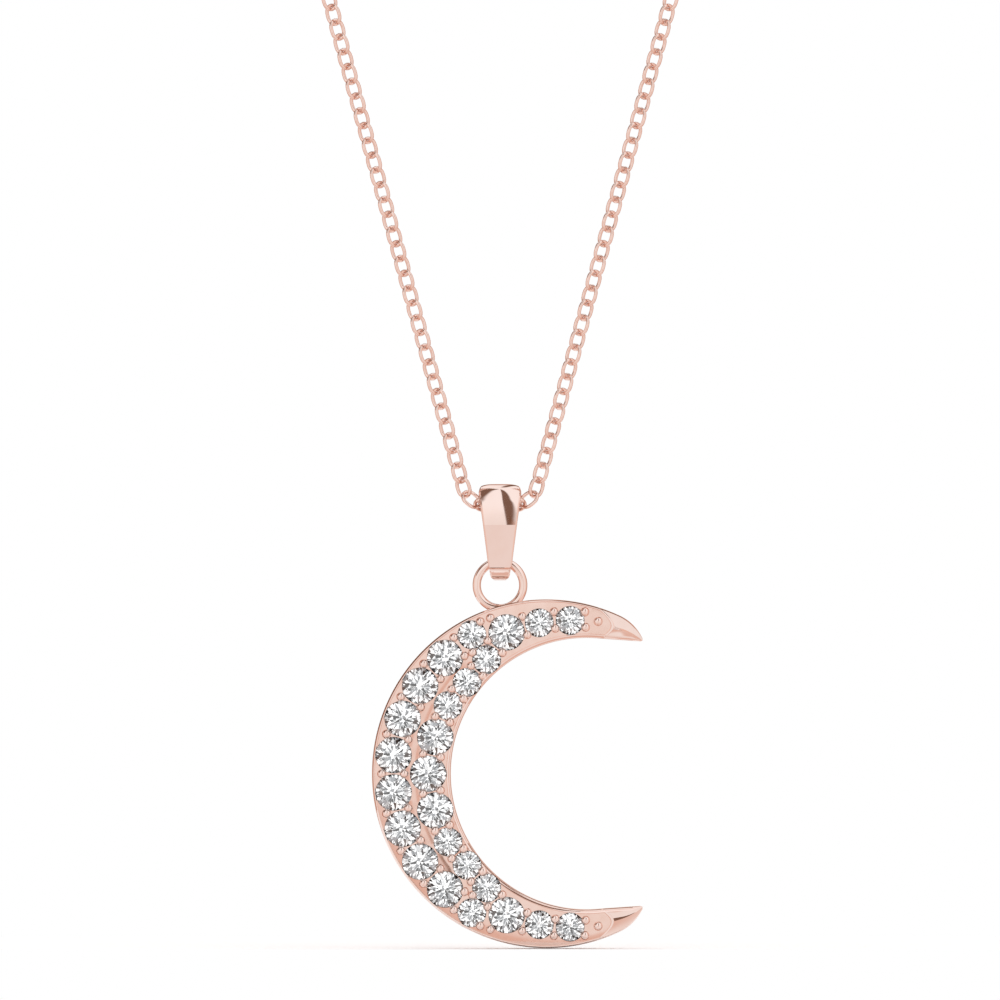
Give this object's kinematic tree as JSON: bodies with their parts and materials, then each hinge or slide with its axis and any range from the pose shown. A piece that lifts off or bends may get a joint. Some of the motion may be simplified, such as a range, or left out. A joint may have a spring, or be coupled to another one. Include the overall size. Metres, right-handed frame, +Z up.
{
  "type": "pendant necklace",
  "caption": "Crescent pendant set with round stones, hung by a ring and a tapered bail on a fine cable chain that closes with a spring-ring clasp.",
  "frame": {"origin": "the nape: the middle of the closed clasp, where the back of the neck or a display holds the necklace up", "axes": "+Z up, the pendant hangs below and in front and faces -Y, +X to the right as seen from the front"},
  "size_m": [0.0764, 0.0422, 0.1758],
  "materials": {
    "rose_gold": "high polish rose gold",
    "rose_gold_chain": "polished rose gold wire",
    "rose_gold_clasp": "polished rose gold",
    "spring_steel": "drawn wire",
    "diamond": "faceted and polished"
  },
  "bodies": {
    "back_chain": {"chain_back_right": "rose_gold_chain", "chain_back_left": "rose_gold_chain", "clasp_tube": "rose_gold_clasp", "clasp_eyelet": "rose_gold_clasp", "clasp_spring": "spring_steel"},
    "front_chain": {"chain_center": "rose_gold_chain", "chain_right_lower": "rose_gold_chain", "chain_right_upper": "rose_gold_chain", "chain_left_lower": "rose_gold_chain", "chain_left_upper": "rose_gold_chain"},
    "bail": {"bail": "rose_gold"},
    "moon": {"crescent": "rose_gold", "prong_beads": "rose_gold", "hanger_ring": "rose_gold", "stone_01": "diamond", "stone_02": "diamond", "stone_03": "diamond", "stone_04": "diamond", "stone_05": "diamond", "stone_06": "diamond", "stone_07": "diamond", "stone_08": "diamond", "stone_09": "diamond", "stone_10": "diamond", "stone_11": "diamond", "stone_12": "diamond", "stone_13": "diamond", "stone_14": "diamond", "stone_15": "diamond", "stone_16": "diamond", "stone_17": "diamond", "stone_18": "diamond", "stone_19": "diamond", "stone_20": "diamond", "stone_21": "diamond", "stone_22": "diamond", "stone_23": "diamond", "stone_24": "diamond", "stone_25": "diamond"},
    "clasp_bolt": {"clasp_bolt": "rose_gold_clasp"},
    "jump_ring": {"jump_ring": "rose_gold_clasp"},
    "end_ring": {"end_ring": "rose_gold_clasp"}
  },
  "joints": [
    {"name": "front_swing", "type": "hinge", "parent": "back_chain", "child": "front_chain", "pos_m": [0, -0.03963, -0.02237], "axis": [1, 0, 0], "range_deg": [-45, 20]},
    {"name": "bail_swing", "type": "hinge", "parent": "front_chain", "child": "bail", "pos_m": [0, -0.03963, -0.14827], "axis": [1, 0, 0], "range_deg": [-40, 40]},
    {"name": "moon_swing", "type": "hinge", "parent": "bail", "child": "moon", "pos_m": [0, -0.03963, -0.15268], "axis": [0, 1, 0], "range_deg": [-40, 40]},
    {"name": "bolt_slide", "type": "hinge", "parent": "back_chain", "child": "clasp_bolt", "pos_m": [0.00067, 0, 0], "axis": [0, -1, 0], "range_deg": [0, 50], "stiffness_Nm_per_rad": 0.0002, "springref_deg": -17.19, "deforming": ["clasp_spring"]},
    {"name": "jump_ring_turn", "type": "hinge", "parent": "back_chain", "child": "jump_ring", "pos_m": [-0.0032, 0, 0], "axis": [1, 0, 0], "range_deg": [0, 30]},
    {"name": "end_ring_turn", "type": "hinge", "parent": "back_chain", "child": "end_ring", "pos_m": [0.0029, 0, 0], "axis": [1, 0, 0], "range_deg": [0, 30]}
  ]
}
